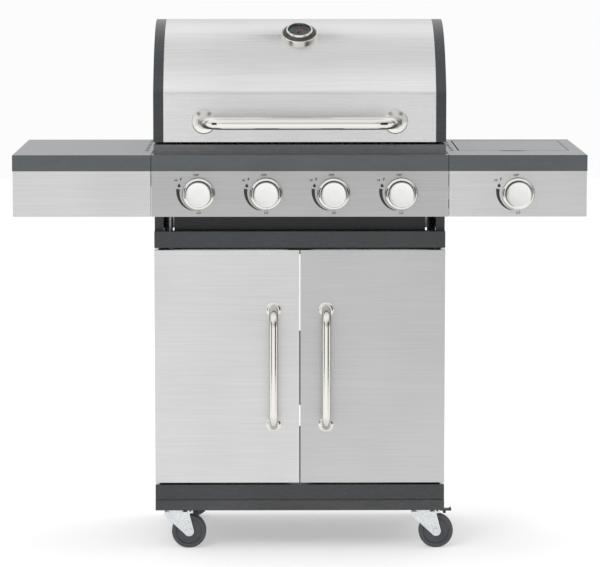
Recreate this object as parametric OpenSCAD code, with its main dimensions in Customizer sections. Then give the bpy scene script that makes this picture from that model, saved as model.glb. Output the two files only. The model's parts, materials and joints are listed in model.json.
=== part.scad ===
// Gas barbecue grill: four main burners, a side burner, a hinged hood and a
// two-door cart on swivel casters. +Z is up, the front faces -Y, and the
// origin is on the floor below the middle of the grill.

/* [Overall] */
// Width across both side tables
overall_w = 1250; // [1230:5:1270]
// Height of the side tables' top face
table_top_z = 875; // [870:1:880]
// Distance from the middle to the front face of the table lips
front_reach = 219; // [217:1:221]

/* [Sheet metal] */
// Thickness of the painted and brushed sheets
sheet = 1.5; // [1.2:0.1:1.8]

/* [Cart] */
// Width of the cart and of the pair of doors
cart_w = 636; // [632:1:640]
// Front face of the two front rails, in front of the middle
rail_reach = 196; // [194:1:198]
// Back face of the cart, behind the middle
cart_back = 216; // [212:1:220]
// Height of the underside of the bottom shelf
shelf_z = 95; // [94:1:97]
// Top of the bottom front rail
bottom_rail_top = 145; // [143:1:147]
// Underside of the top front rail
top_rail_bottom = 670; // [668:1:672]
// Height of the top front rail
top_rail_h = 36; // [34:1:38]

/* [Doors] */
// Gap above, below and between the doors
door_gap = 5; // [4.5:0.5:5.5]
// Depth of the folded door pans
door_t = 20; // [18:1:21]
// Distance of each door handle from the middle
door_handle_x = 57.5; // [50:0.5:70]
// Distance between the two feet of a door handle
door_handle_span = 255; // [220:5:280]

/* [Casters] */
// Wheel diameter
wheel_d = 76; // [74:1:76]
// Wheel width
wheel_w = 22; // [20:1:24]
// Distance from the swivel axis to the wheel axle
caster_trail = 28; // [26:1:30]
// Distance of the swivel axes from the middle, sideways
caster_x = 273; // [265:1:276]

/* [Hood] */
// Width over the hood's end caps
hood_w = 640; // [636:1:642]
// Front face of the hood, in front of the middle
hood_reach = 174; // [173:1:176]
// Back face of the hood, behind the middle
hood_back = 251; // [250:1:252]
// Height of the crease where the front face meets the round top
crease_z = 1003; // [998:1:1008]
// Highest point of the hood
hood_top_z = 1160; // [1155:1:1165]
// Width of the painted end caps
cap_w = 22; // [20:1:24]

/* [Controls] */
// Distance between the main burners' knobs
knob_pitch = 147; // [140:1:150]
// Knob diameter
knob_d = 55.4; // [50:0.2:56]
// Outer diameter of the bezel round each knob
bezel_d = 72; // [70:1:76]

/* [Hidden] */
$fn = 48;

// Shared heights and reaches
front_y = -front_reach;
fascia_y = front_y + sheet;
rail_y = -rail_reach;
rail_depth = 25;
post_y = rail_y + rail_depth + 1;
cart_x = cart_w / 2;
top_rail_top = top_rail_bottom + top_rail_h;
lip_h = 35;
lip_z = table_top_z - lip_h;
fascia_h = 99.5;
fascia_z = lip_z - fascia_h;
control_z = fascia_z + fascia_h / 2;
panel_x = 323;
table_x = panel_x + 0.7;
outer_x = overall_w / 2;
table_back = 231;

// Doors
door_low = bottom_rail_top + door_gap;
door_high = top_rail_bottom - door_gap;
door_front = rail_y - 2;
door_back = door_front + door_t;
door_pin_x = cart_x - 5;
door_pin_y = door_front + door_t / 2;
door_pin_r = 3;
seam = 2.5;

// Running clearance between a shaft and its hole
run = 0.05;

// Cooking box
box_x = 297;
box_front = -150;
box_back = 228;
box_bottom = 742;
rim_z = 893;
rim_x = 319;
rim_front = -184;
ledge_z = 860;
burner_z = control_z;
burner_r = 12;
tray_x = 272;
tray_z = 711.5;
runner_z = 709.5;
cup_y = 40;

// Hood profile: one arc from the crease over the top to the back
arc_half = 235;
arc_rise = hood_top_z - crease_z;
arc_y = arc_half - hood_reach;
arc_r = (arc_half * arc_half + arc_rise * arc_rise) / (2 * arc_rise);
arc_z = hood_top_z - arc_r;
hood_z = 900;
hood_x = hood_w / 2;
shell_x = hood_x - cap_w;
hinge_y = hood_back - 13;
hinge_z = 912;
hinge_r = 4;
lug_r = 8;

// Hood handle, a bowed tube
handle_z = 945;
handle_x = 209;
handle_r = 14;
handle_out = 63;
handle_bend = 49;

// Door handles, the same bow in a thinner tube
pull_r = 10;
pull_out = 42;
pull_bend = 32;
pull_low = 279;

// Thermometer on the slope of the hood
gauge_angle = 60;
gauge_r = 40;

// Knobs
knob_x = [for (i = [0:3]) (i - 1.5) * knob_pitch];
side_knob_x = 475;
all_knob_x = concat(knob_x, [side_knob_x]);
knob_r = knob_d / 2;
knob_face = fascia_y - 31;
spindle_r = 4;

// Side burner opening in the right-hand table
bay_x0 = 351;
bay_x1 = 597;
bay_y0 = -97;
bay_y1 = 189.5;
flap_pin_y = 176;
flap_pin_z = table_top_z - 9;
flap_pin_r = 2.5;
side_mid_y = 40;

// Casters
wheel_r = wheel_d / 2;
caster_front = -169;
caster_rear = 181;
crown_z = 78.5;
axle_r = 4;
pedal_x = 31;
pedal_z = 84;
pedal_r = 2;

// A box between two corners
module block(low, high) {
    translate(low) cube(high - low);
}

// The children and their mirror image in the plane X = 0
module both_sides() {
    children();
    mirror([1, 0, 0]) children();
}

// Extrude a Y-Z outline along X
module along_x(x0, x1) {
    translate([x0, 0, 0]) rotate([90, 0, 90]) linear_extrude(x1 - x0) children();
}

// Extrude an X-Z outline along Y
module along_y(y0, y1) {
    translate([0, y1, 0]) rotate([90, 0, 0]) linear_extrude(y1 - y0) children();
}

// Turn something made along +Z so that it points out of the front
module facing_front(x, y, z) {
    translate([x, y, z]) rotate([90, 0, 0]) children();
}

// A channel open to the back, as used for both front rails
module front_channel(z0, z1) {
    difference() {
        block([-cart_x, rail_y, z0], [cart_x, rail_y + rail_depth, z1]);
        block([-cart_x - 1, rail_y + sheet, z0 + sheet],
              [cart_x + 1, rail_y + rail_depth + 1, z1 - sheet]);
    }
}

// Bottom shelf: a pan whose front edge hangs down to hide the casters' plates
module bottom_shelf() color("#4a4a4a") {
    lip_y = rail_y - 3;
    block([-cart_x, lip_y, shelf_z], [cart_x, cart_back, shelf_z + 2]);
    block([-cart_x, lip_y, shelf_z - 7], [cart_x, lip_y + sheet, shelf_z + 16]);
    block([-cart_x, cart_back - sheet, shelf_z], [cart_x, cart_back, shelf_z + 16]);
}

// Bottom front rail, with a hole for each door's lower pin
module bottom_rail() color("#35383b") {
    difference() {
        front_channel(shelf_z + 2, bottom_rail_top);
        both_sides() translate([door_pin_x, door_pin_y, bottom_rail_top - 4])
            cylinder(r = door_pin_r + run, h = 8);
    }
}

// Top front rail, with a hole for each door's upper pin
module top_rail() color("#3a3d40") {
    difference() {
        front_channel(top_rail_bottom, top_rail_top);
        both_sides() translate([door_pin_x, door_pin_y, top_rail_bottom - 4])
            cylinder(r = door_pin_r + run, h = 8);
    }
}

// Side of the cart: a sheet, a folded post at each end, the flange that
// carries the firebox and the runner that carries the grease tray
module side_panel() {
    post_w = 20;
    inner_x = cart_x - post_w;
    foot_z = shelf_z + 2;
    block([cart_x - sheet, post_y, foot_z], [cart_x, cart_back - sheet, box_bottom]);
    block([inner_x, post_y, foot_z], [cart_x, post_y + sheet, box_bottom]);
    block([inner_x, post_y, foot_z], [inner_x + sheet, post_y + post_w, box_bottom]);
    block([inner_x, cart_back - 2 * sheet, foot_z], [cart_x, cart_back - sheet, box_bottom]);
    block([280, box_front + 5, box_bottom - sheet], [cart_x, cart_back - sheet, box_bottom]);
    block([255, box_front + 2, runner_z], [cart_x, cart_back - 11, runner_z + sheet]);
}

module side_panels() color("#3a3d40") both_sides() side_panel();

// Rear panel with two columns of louvres and a hole for the gas hose
module rear_panel() color("#303336") {
    face = cart_back - 2 * sheet - 0.2;
    difference() {
        block([2 * sheet - cart_x, face - sheet, shelf_z + 2.2], [cart_x - 2 * sheet, face, 430]);
        for (x = [-210, 60]) for (i = [0:7])
            block([x, face - 5, 285 + i * 17], [x + 150, face + 5, 292 + i * 17]);
        translate([0, face + 5, 230]) rotate([90, 0, 0]) cylinder(r = 25, h = 12);
    }
}

// Rear cross rail that ties the two sides together under the grease tray
module rear_rail() color("#303336") {
    difference() {
        block([sheet - cart_x, 190, 612], [cart_x - sheet, cart_back - 2 * sheet - 0.2, 638]);
        block([-cart_x, 190 + sheet, 611], [cart_x, cart_back - 3 * sheet - 0.2, 638 - sheet]);
    }
}

// Sheet between the posts that shields the valves from the heat below
module heat_shield() color("#2a2a28") {
    block([-275, post_y + 2, top_rail_top], [275, post_y + 2 + sheet, box_bottom]);
    block([-275, post_y - 10, top_rail_top], [275, post_y + 2 + sheet, top_rail_top + sheet]);
}

// Outline of a hinge lug: an eye on an arm that reaches it from the front
module lug_outline() {
    difference() {
        union() {
            translate([hinge_y, hinge_z]) circle(r = lug_r);
            polygon([
                [192, rim_z], [212, rim_z],
                [hinge_y - 4.5, hinge_z - 6.6], [hinge_y, hinge_z + lug_r],
                [hinge_y - 10, hinge_z + lug_r], [192, rim_z + 12]
            ]);
        }
        translate([hinge_y, hinge_z]) circle(r = hinge_r + run);
    }
}

// Firebox: the painted body under the hood, open at the top and over the tray
module firebox() color("#707173") {
    inner_x = box_x - sheet;
    rear_top = 890;
    difference() {
        block([-box_x, box_front, box_bottom], [box_x, box_back, rim_z]);
        block([-inner_x, box_front + sheet, box_bottom + sheet],
              [inner_x, box_back - sheet, rim_z + 1]);
        block([-250, -120, box_bottom - 1], [250, 195, box_bottom + 5]);
        block([-box_x - 1, box_back - 5, rear_top], [box_x + 1, box_back + 1, rim_z + 1]);
        for (x = knob_x) translate([x, box_front + 5, burner_z]) rotate([90, 0, 0])
            cylinder(r = burner_r + 1.5, h = 10);
    }
    // Ledges for the grates and the flame tamers, and the burners' rear rest
    for (z = [ledge_z - sheet, 820]) {
        block([-inner_x, box_front + sheet, z], [inner_x, box_front + 12, z + sheet]);
        block([-inner_x, box_back - 12, z], [inner_x, box_back - sheet, z + sheet]);
    }
    block([-inner_x, 208, burner_z - burner_r - 12], [inner_x, 210, burner_z - burner_r]);
    // Rim that the hood closes over
    block([-rim_x, rim_front, rim_z], [rim_x, box_front + sheet, rim_z + sheet]);
    block([-rim_x, rim_front, table_top_z - 4], [rim_x, rim_front + sheet, rim_z + sheet]);
    both_sides() {
        block([inner_x, rim_front, rim_z], [rim_x, 215, rim_z + sheet]);
        block([rim_x - sheet, rim_front, table_top_z - 4], [rim_x, 215, rim_z + sheet]);
        along_x(306, 309) lug_outline();
    }
}

// Four tube burners, open at the front for the valves' jets
module main_burners() color("#b9b7b0") {
    for (x = knob_x) translate([x, 222, burner_z]) rotate([90, 0, 0]) difference() {
        cylinder(r = burner_r, h = 390);
        translate([0, 0, sheet]) cylinder(r = burner_r - 1.2, h = 400);
    }
}

// Angled sheets that sit over the burners and spread their heat
module flame_tamers() color("#b9b7b0") {
    half = 42;
    rise = 24;
    for (x = knob_x) translate([x, 0, 820 + sheet]) along_y(box_front + 4, box_back - 4)
        polygon([[-half, 0], [0, rise], [half, 0], [half - 2.6, 0], [0, rise - sheet], [2.6 - half, 0]]);
}

// Two cast grates side by side
module cooking_grates() color("#26282a") {
    bars = 16;
    bar_w = 7;
    width = 292;
    pitch = (width - bar_w) / (bars - 1);
    back = box_back - 4;
    front = box_front + 4;
    both_sides() translate([1.5, 0, ledge_z]) {
        for (i = [0:bars - 1]) block([i * pitch, front, 0], [i * pitch + bar_w, back, 11]);
        for (y = [front, (front + back) / 2 - 5, back - 10]) block([0, y, 0], [width, y + 10, 8]);
    }
}

// Warming rack above the back of the grates, laid on a plate leg at each end
module warming_rack() color("#c9c7c2") {
    rack_z = 962;
    wire = 4;
    for (y = [66, 186]) block([-290, y, rack_z], [290, y + wire, rack_z + wire]);
    for (i = [0:24]) block([-290 + i * 24, 68, rack_z], [-286 + i * 24, 188, rack_z + wire]);
    both_sides() block([286, 100, rack_z], [293, 150, rack_z + wire]);
    both_sides() block([290, 100, rim_z + sheet], [293, 150, rack_z - 0.1]);
    both_sides() block([290, 100, rim_z + sheet], [303, 150, rim_z + 2 * sheet]);
}

// Square gas rail behind the control panel, and the inlet that the hose joins
module gas_manifold() color("#8d8f90") {
    inlet_x = -284;
    inlet_y = -158;
    difference() {
        block([-292, -200, 756], [490, -180, 776]);
        block([-290, -198, 758], [488, -182, 774]);
    }
    block([-292, -180, 758], [-276, -150.2, 774]);
    translate([inlet_x, inlet_y, 640]) cylinder(r = 6, h = 120);
    translate([inlet_x, inlet_y, 640]) cylinder(r = 10, h = 8, $fn = 6);
    translate([inlet_x, inlet_y, 624]) cylinder(r = 6.58, h = 16);
}

// Valves on the gas rail: body, collar through the panel, and jet
module gas_valves() color("#b08d4a") {
    for (x = all_knob_x) difference() {
        union() {
            block([x - 11, -206, 776], [x + 11, -180, control_z + 13]);
            facing_front(x, -205, control_z) cylinder(r = 8, h = 12);
            facing_front(x, -160, control_z) cylinder(r = 5, h = 22);
        }
        facing_front(x, -186, control_z) cylinder(r = spindle_r + run, h = 40);
    }
}

// Folded steel front of the control panel
module control_panel() color("#c4c4c4") {
    difference() {
        union() {
            block([-panel_x, fascia_y, fascia_z], [panel_x, fascia_y + sheet, lip_z]);
            block([-panel_x, fascia_y, fascia_z], [panel_x, fascia_y + 22, fascia_z + sheet]);
        }
        for (x = knob_x) facing_front(x, fascia_y + 5, control_z) cylinder(r = 10, h = 10);
    }
}

// Room for the gas rail where it passes from the control panel to the side table
module rail_passage() {
    block([panel_x - 10, -203, 753], [panel_x + 10, -177, 779]);
}

// Painted cap over the control panel, with a cheek plate at each end
module panel_cap() color("#5a5f63") {
    difference() {
        block([-panel_x, front_y, lip_z], [panel_x, rim_front - 0.5, table_top_z]);
        block([sheet - panel_x, front_y + sheet, lip_z - 1],
              [panel_x - sheet, rim_front, table_top_z - sheet]);
    }
    difference() {
        both_sides() block([panel_x - sheet, fascia_y + sheet + 0.3, fascia_z + 4],
                           [panel_x, box_front, lip_z]);
        rail_passage();
    }
}

// Polished ring round each knob
module knob_bezels() color("#d9d5c5") {
    outer = bezel_d / 2;
    inner = knob_r + 2;
    for (x = all_knob_x) facing_front(x, fascia_y, control_z) rotate_extrude()
        polygon([[inner, 0], [outer, 0], [outer, 1.2], [outer - 2.5, 4.6], [inner + 1.5, 6], [inner, 6]]);
}

// Table top: a shallow upturned tray with a row of vent slots by the hood
module table_shell() {
    difference() {
        block([table_x, front_y, lip_z], [outer_x, table_back, table_top_z]);
        block([table_x + sheet, front_y + sheet, lip_z - 1],
              [outer_x - sheet, table_back - sheet, table_top_z - sheet]);
        for (i = [0:7]) translate([334, -98 + i * 43.7, table_top_z - 5]) cube([6.5, 19, 10]);
    }
}

module left_table_top() color("#5a5f63") mirror([1, 0, 0]) table_shell();

// Right-hand table: the same tray with the side burner's opening, a finger
// recess in front of it and the two ears that the flap swings in
module right_table_top() color("#5a5f63") {
    grip_x = 470;
    grip_r = 64;
    difference() {
        table_shell();
        block([bay_x0, bay_y0, lip_z - 1], [bay_x1, bay_y1, table_top_z + 1]);
        translate([0, 0, table_top_z - 5]) linear_extrude(10) intersection() {
            translate([grip_x, bay_y0 - grip_r + 5]) circle(r = grip_r);
            translate([grip_x, bay_y0 + grip_r - 15]) circle(r = grip_r);
        }
    }
    for (x = [bay_x0 - sheet, bay_x1]) difference() {
        block([x, 160, flap_pin_z - 8], [x + sheet, bay_y1, table_top_z - sheet]);
        translate([x - 1, flap_pin_y, flap_pin_z]) rotate([0, 90, 0])
            cylinder(r = flap_pin_r + run, h = 5);
    }
}

// Steel fronts of the two side tables; the right one has the side knob's hole
module table_fascias() color("#cfcfcf") {
    difference() {
        both_sides() difference() {
            block([table_x + 1, fascia_y, fascia_z], [outer_x - 1, fascia_y + 24, lip_z]);
            block([table_x + 1 + sheet, fascia_y + sheet, fascia_z + sheet],
                  [outer_x - 1 - sheet, fascia_y + 25, lip_z + 1]);
        }
        facing_front(side_knob_x, fascia_y + 5, control_z) cylinder(r = 10, h = 10);
        rail_passage();
    }
}

// Four channels that carry the side tables on the firebox
module table_brackets() color("#303336") {
    for (y = [-140, 196]) both_sides() difference() {
        block([box_x, y, 800], [600, y + 18, 826]);
        block([box_x - 1, y + sheet, 799], [601, y + 18 - sheet, 826 - sheet]);
    }
    for (y = [-140, 196]) both_sides() block([584, y, 826], [600, y + 18, table_top_z - sheet]);
}

// Pan under the side burner
module side_burner_bowl() color("#4a4a4a") {
    difference() {
        union() {
            block([358, -86, 830], [590, 160, 856]);
            block([352, -92, 854.5], [596, 166, 856]);
        }
        block([358 + sheet, -86 + sheet, 830 + sheet], [590 - sheet, 160 - sheet, 860]);
        translate([side_knob_x, side_mid_y, 820]) cylinder(r = 20, h = 20);
    }
}

// Side burner: round head, neck and the tube to its valve
module side_burner() color("#8d8f90") {
    difference() {
        union() {
            translate([side_knob_x, side_mid_y, 834]) rotate_extrude() polygon([
                [0, 0], [36, 0], [40, 4], [40, 12], [30, 14], [30, 19], [26, 21], [0, 21]
            ]);
            translate([side_knob_x, side_mid_y, burner_z - 8]) cylinder(r = 12, h = 52);
            translate([side_knob_x, side_mid_y, burner_z]) rotate([90, 0, 0])
                cylinder(r = 9.2, h = 208);
        }
        translate([side_knob_x, side_mid_y - 20, burner_z]) rotate([90, 0, 0])
            cylinder(r = 7.8, h = 200);
    }
}

// Wire trivet that carries a pot over the side burner
module pan_support() color("#26282a") {
    wire = 6;
    z0 = 856.2;
    z1 = z0 + wire;
    difference() {
        block([364, -78, z0], [584, 152, z1]);
        block([364 + wire, -78 + wire, z0 - 1], [584 - wire, 152 - wire, z1 + 1]);
    }
    for (y = [side_mid_y - 30, side_mid_y + 24]) {
        block([366, y, z0], [side_knob_x - 16, y + wire, z1]);
        block([side_knob_x + 16, y, z0], [582, y + wire, z1]);
    }
    for (x = [side_knob_x - 30, side_knob_x + 24]) {
        block([x, -76, z0], [x + wire, side_mid_y - 16, z1]);
        block([x, side_mid_y + 16, z0], [x + wire, 150, z1]);
    }
}

// Flap that closes the side burner flush with the table, with its two pins
module side_burner_lid() color("#5a5f63") {
    x0 = bay_x0 + 2.5;
    x1 = bay_x1 - 2;
    y0 = bay_y0 + 2;
    y1 = 185;
    skirt_z = table_top_z - 10;
    difference() {
        block([x0, y0, skirt_z], [x1, y1, table_top_z]);
        block([x0 + sheet, y0 + sheet, skirt_z - 1], [x1 - sheet, y1 - sheet, table_top_z - sheet]);
    }
    for (x = [x0, x1 - sheet])
        block([x, flap_pin_y - 7, flap_pin_z - 5], [x + sheet, flap_pin_y + 7, skirt_z + 1]);
    translate([bay_x0 - 4, flap_pin_y, flap_pin_z]) rotate([0, 90, 0])
        cylinder(r = flap_pin_r, h = 10);
    translate([x1 - 3, flap_pin_y, flap_pin_z]) rotate([0, 90, 0])
        cylinder(r = flap_pin_r, h = 9);
}

// Magnet catch for each door, under the top rail
module door_magnets() color("#202224") {
    both_sides() block([3, door_back + 0.5, top_rail_bottom - 20],
                       [24, post_y + 6, top_rail_bottom]);
}

// White nylon bushes that the doors turn on
module door_bushes() color("#f2f2ee") {
    both_sides() for (z = [bottom_rail_top, door_high + 0.4])
        translate([door_pin_x, door_pin_y, z]) difference() {
            cylinder(r = 5, h = door_gap - 0.4);
            translate([0, 0, -1]) cylinder(r = door_pin_r + run, h = door_gap + 2);
        }
}

// Grease tray that slides out at the back, and the cup that hangs in its hole
module grease_tray() color("#a9abac") {
    front = -140;
    back = 226;
    top = 737;
    difference() {
        block([-tray_x, front, tray_z], [tray_x, back, top]);
        block([sheet - tray_x, front + sheet, tray_z + sheet],
              [tray_x - sheet, back - sheet, top + 1]);
        translate([0, cup_y, tray_z - 1]) cylinder(r = 32, h = 5);
    }
    rim = tray_z + sheet + 0.1;
    translate([0, cup_y, rim - 46]) rotate_extrude() polygon([
        [0, 0], [26, 0], [30, 4], [30, 46], [37, 46], [37, 47.2], [28.8, 47.2],
        [28.8, 4.5], [25.5, 1.2], [0, 1.2]
    ]);
}

// Hood outline in the Y-Z plane, drawn inset by a given amount
module hood_outline(inset, low) {
    intersection() {
        translate([arc_y, arc_z]) circle(r = arc_r - inset, $fn = 180);
        translate([inset - hood_reach, low])
            square([hood_reach + hood_back - 2 * inset, hood_top_z - low]);
    }
}

// Place the children on the hood's slope, with +Z along its outward normal
module on_slope() {
    translate([0, arc_y - arc_r * cos(gauge_angle), arc_z + arc_r * sin(gauge_angle)])
        rotate([90 - gauge_angle, 0, 0]) children();
}

// Steel skin of the hood, with the thermometer's hole and a hem along the front
module hood_shell() color("#d2d2d0") {
    difference() {
        along_x(-shell_x, shell_x) hood_outline(0, hood_z);
        along_x(-shell_x - 1, shell_x + 1) hood_outline(sheet, hood_z - 5);
        on_slope() translate([0, 0, -20]) cylinder(r = 8.5, h = 40);
    }
    block([-shell_x, -hood_reach, hood_z], [shell_x, 14 - hood_reach, hood_z + sheet]);
}

// Painted end caps: a side plate, the band round it and a flange for the skin
module hood_end_caps() color("#3c4043") {
    wall = 1.8;
    tuck = sheet + 0.1;
    both_sides() difference() {
        union() {
            difference() {
                along_x(shell_x, hood_x) hood_outline(0, hood_z);
                along_x(shell_x - 1, hood_x - wall) hood_outline(wall, hood_z - 5);
            }
            difference() {
                along_x(shell_x - 11, shell_x + 3) hood_outline(tuck, hood_z + 3);
                along_x(shell_x - 12, shell_x + 4) hood_outline(tuck + wall, hood_z - 5);
            }
        }
        translate([hood_x - 5, hinge_y, hinge_z]) rotate([0, 90, 0])
            cylinder(r = hinge_r + 0.1, h = 10);
        // Room for the hinge lug behind the lower edge
        block([shell_x + 3, 186, hood_z - 1], [hood_x - wall, hood_back - wall, hood_z + 1]);
    }
}

// A tube bowed at both ends: two feet, two bends and a straight, made along X
// with the feet on the plane Z = 0 and the straight at the given height
module bow(span, radius, out, bend, wall) {
    inner = radius - wall;
    foot = out - bend;
    straight = span / 2 - bend;
    difference() {
        bow_core(straight, radius, bend, foot, 0);
        bow_core(straight, inner, bend, foot, 1);
    }
}

// The solid that a bowed tube, or its bore, fills
module bow_core(straight, radius, bend, foot, extra) {
    translate([-straight, 0, foot + bend]) rotate([0, 90, 0]) cylinder(r = radius, h = 2 * straight);
    for (side = [0, 180]) rotate([0, 0, side]) {
        translate([straight, 0, foot]) rotate([90, 0, 0])
            rotate_extrude(angle = 90) translate([bend, 0]) circle(r = radius);
        translate([straight + bend, 0, -extra]) cylinder(r = radius, h = foot + extra);
    }
}

// Pressed rosette at each foot of a handle
module rosette(radius, collar, h) {
    rotate_extrude() polygon([
        [collar, 0], [radius, 0], [radius, h * 0.3], [radius - 2, h * 0.6],
        [collar + 2.5, h * 0.75], [collar + 2, h], [collar, h]
    ]);
}

// Handle across the front of the hood, with its two rosettes
module hood_handle() color("#dcd8cc") {
    facing_front(0, -hood_reach, handle_z) {
        bow(2 * handle_x, handle_r, handle_out, handle_bend, 1.5);
        for (x = [-handle_x, handle_x]) translate([x, 0, 0]) rosette(27, handle_r, 8);
    }
}

// Shoulder bolts that the hood swings on
module hood_hinge_pins() color("#b9b9b9") {
    both_sides() translate([302, hinge_y, hinge_z]) rotate([0, 90, 0]) {
        cylinder(r = hinge_r, h = hood_x - 302 + 0.5);
        translate([0, 0, hood_x - 302 + 0.2]) cylinder(r = 7.5, h = 3.5);
    }
}

// Thermometer case: skirt, bezel and probe
module thermometer() color("#d9d5c5") {
    difference() {
        on_slope() translate([0, 0, -5]) rotate_extrude() polygon([
            [0, 0], [gauge_r, 0], [gauge_r, 7], [gauge_r - 3, 10], [30, 13.5], [29, 14],
            [29, 23], [27, 25], [25.6, 25], [25.6, 17], [0, 17]
        ]);
        along_x(-60, 60) hood_outline(0, hood_z);
    }
    on_slope() translate([0, 0, -60]) cylinder(r = 3, h = 64);
    on_slope() translate([0, 0, -1.5]) cylinder(r = 8.4, h = 4);
}

// Glass of the thermometer
module thermometer_glass() color("#e8eef0", 0.4) {
    on_slope() translate([0, 0, 17.5]) cylinder(r = 25.4, h = 1.5);
}

// Needle of the thermometer, pointing to cold
module thermometer_needle() color("#c02020") {
    on_slope() translate([0, 0, 13.2]) {
        cylinder(r = 2.2, h = 1.6);
        translate([-0.7, -18, 0.3]) cube([1.4, 22, 0.8]);
    }
}

// Door: a pan folded on all four edges, a stiffener behind the handle, a
// strike plate for the magnet, and the two pins it turns on
module door() {
    difference() {
        block([seam / 2, door_front, door_low], [cart_x, door_back, door_high]);
        block([seam / 2 + sheet, door_front + sheet, door_low + sheet],
              [cart_x - sheet, door_back + 1, door_high - sheet]);
    }
    block([4, door_back - 2 * sheet, door_high - 22], [23, door_back - sheet, door_high - sheet]);
    difference() {
        block([door_handle_x - 15, door_front + sheet, door_low + sheet],
              [door_handle_x + 15, door_front + 12, door_high - sheet]);
        block([door_handle_x - 15 + sheet, door_front, door_low],
              [door_handle_x + 15 - sheet, door_front + 12 - sheet, door_high]);
    }
    translate([door_pin_x, door_pin_y, door_low - 12]) cylinder(r = door_pin_r, h = 12.5);
    translate([door_pin_x, door_pin_y, door_high - 0.5]) cylinder(r = door_pin_r, h = 13);
}

module left_door() color("#cfcfcd") mirror([1, 0, 0]) door();

module right_door() color("#c2c2c0") door();

// Upright bowed handle with its two rosettes
module door_handle() color("#dcd8cc") {
    mid = pull_low + door_handle_span / 2;
    facing_front(door_handle_x, door_front, mid) rotate([0, 0, 90]) {
        bow(door_handle_span, pull_r, pull_out, pull_bend, 1.2);
        for (x = [-1, 1] * door_handle_span / 2) translate([x, 0, 0]) rosette(16.5, pull_r, 5);
    }
}

module left_door_handle() mirror([1, 0, 0]) door_handle();

module right_door_handle() door_handle();

// Valve spindle that the knob pushes in
module spindle(x) color("#8d8f90") {
    facing_front(x, -192, control_z) cylinder(r = spindle_r, h = -192 - knob_face - 8);
}

module spindle_1() spindle(all_knob_x[0]);

module spindle_2() spindle(all_knob_x[1]);

module spindle_3() spindle(all_knob_x[2]);

module spindle_4() spindle(all_knob_x[3]);

module side_spindle() spindle(all_knob_x[4]);

// Hollow knob with a bevelled face, and a hub that turns on the spindle
module knob(x) color("#e0e0de") {
    back = 25;
    facing_front(x, knob_face + back, control_z) difference() {
        rotate_extrude() polygon([
            [0, 4], [spindle_r + 6, 4], [spindle_r + 6, back - 4], [knob_r - 2.5, back - 4],
            [knob_r - 2.5, 0], [knob_r, 0], [knob_r, back - 2.4], [knob_r - 2.4, back], [0, back]
        ]);
        translate([0, 0, -1]) cylinder(r = spindle_r + run, h = back - 6.4);
    }
}

module knob_1() knob(all_knob_x[0]);

module knob_2() knob(all_knob_x[1]);

module knob_3() knob(all_knob_x[2]);

module knob_4() knob(all_knob_x[3]);

module side_knob() knob(all_knob_x[4]);

// The four casters stand at (+-caster_x, caster_front or caster_rear)
module at_caster(x, y) {
    translate([x, y, 0]) children();
}

// Fixed plates and kingpins under the shelf
module caster_plates() color("#c9cbcc") {
    for (x = [-caster_x, caster_x]) for (y = [caster_front, caster_rear]) at_caster(x, y) {
        block([-30, -26, shelf_z - 3], [30, 26, shelf_z]);
        translate([0, 0, crown_z + 3.3]) cylinder(r = 21, h = shelf_z - 3 - crown_z - 3.3);
        translate([0, 0, crown_z - 3]) cylinder(r = 5, h = 14);
        translate([0, 0, crown_z - 3]) cylinder(r = 8, h = 2.5);
    }
}

// Outline of one leg of the fork, from the crown down to the axle
module leg_outline() {
    eye = 11;
    polygon([
        [-26, crown_z + 3], [-26, crown_z - 5], [caster_trail - eye * cos(30), wheel_r - eye * sin(30)],
        [caster_trail + eye * cos(10), wheel_r + eye * sin(10)], [30, crown_z - 5], [30, crown_z + 3]
    ]);
    translate([caster_trail, wheel_r]) circle(r = eye);
}

// Swivelling fork with its riveted axle
module fork() color("#d5d7d8") {
    gap = wheel_w / 2 + 1.3;
    difference() {
        union() {
            block([-26, -gap - 2.5, crown_z], [30, gap + 2.5, crown_z + 3]);
            for (y = [-gap - 2.5, gap]) along_y(y, y + 2.5) leg_outline();
        }
        translate([0, 0, crown_z - 10]) cylinder(r = 5 + run, h = 20);
    }
    translate([caster_trail, gap + 4.5, wheel_r]) rotate([90, 0, 0])
        cylinder(r = axle_r, h = 2 * gap + 9);
    for (y = [gap + 5, -gap - 2.4]) translate([caster_trail, y, wheel_r]) rotate([90, 0, 0])
        cylinder(r = 6.5, h = 2.6);
}

// The two ears that a front caster's brake pedal pivots between
module pedal_ears() {
    gap = wheel_w / 2 + 1.3;
    for (y = [-gap - 2.5, gap]) difference() {
        block([pedal_x - 6, y, crown_z], [pedal_x + 6, y + 2.5, pedal_z + 3.5]);
        translate([pedal_x, y + 5, pedal_z]) rotate([90, 0, 0]) cylinder(r = pedal_r + run, h = 10);
    }
}

// Brake pedal: a plate with a raised toe, the shoe under it, and its pin
module brake_pedal() color("#26282a") {
    half = wheel_w / 2 - 0.5;
    block([pedal_x - 1, -half, pedal_z - 1.2], [pedal_x + 31, half, pedal_z + 1.4]);
    block([pedal_x + 27, -half, pedal_z + 1], [pedal_x + 31, half, pedal_z + 3.5]);
    block([pedal_x + 13, -half + 2, pedal_z - 7], [pedal_x + 19, half - 2, pedal_z]);
    translate([pedal_x, half + 4.2, pedal_z]) rotate([90, 0, 0]) cylinder(r = pedal_r, h = 2 * half + 8.4);
}

module left_brake_pedal() at_caster(-caster_x, caster_front) brake_pedal();

module right_brake_pedal() at_caster(caster_x, caster_front) brake_pedal();

module front_left_fork() color("#d5d7d8") at_caster(-caster_x, caster_front) {
    fork();
    pedal_ears();
}

module front_right_fork() color("#d5d7d8") at_caster(caster_x, caster_front) {
    fork();
    pedal_ears();
}

module rear_left_fork() at_caster(-caster_x, caster_rear) fork();

module rear_right_fork() at_caster(caster_x, caster_rear) fork();

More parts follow.
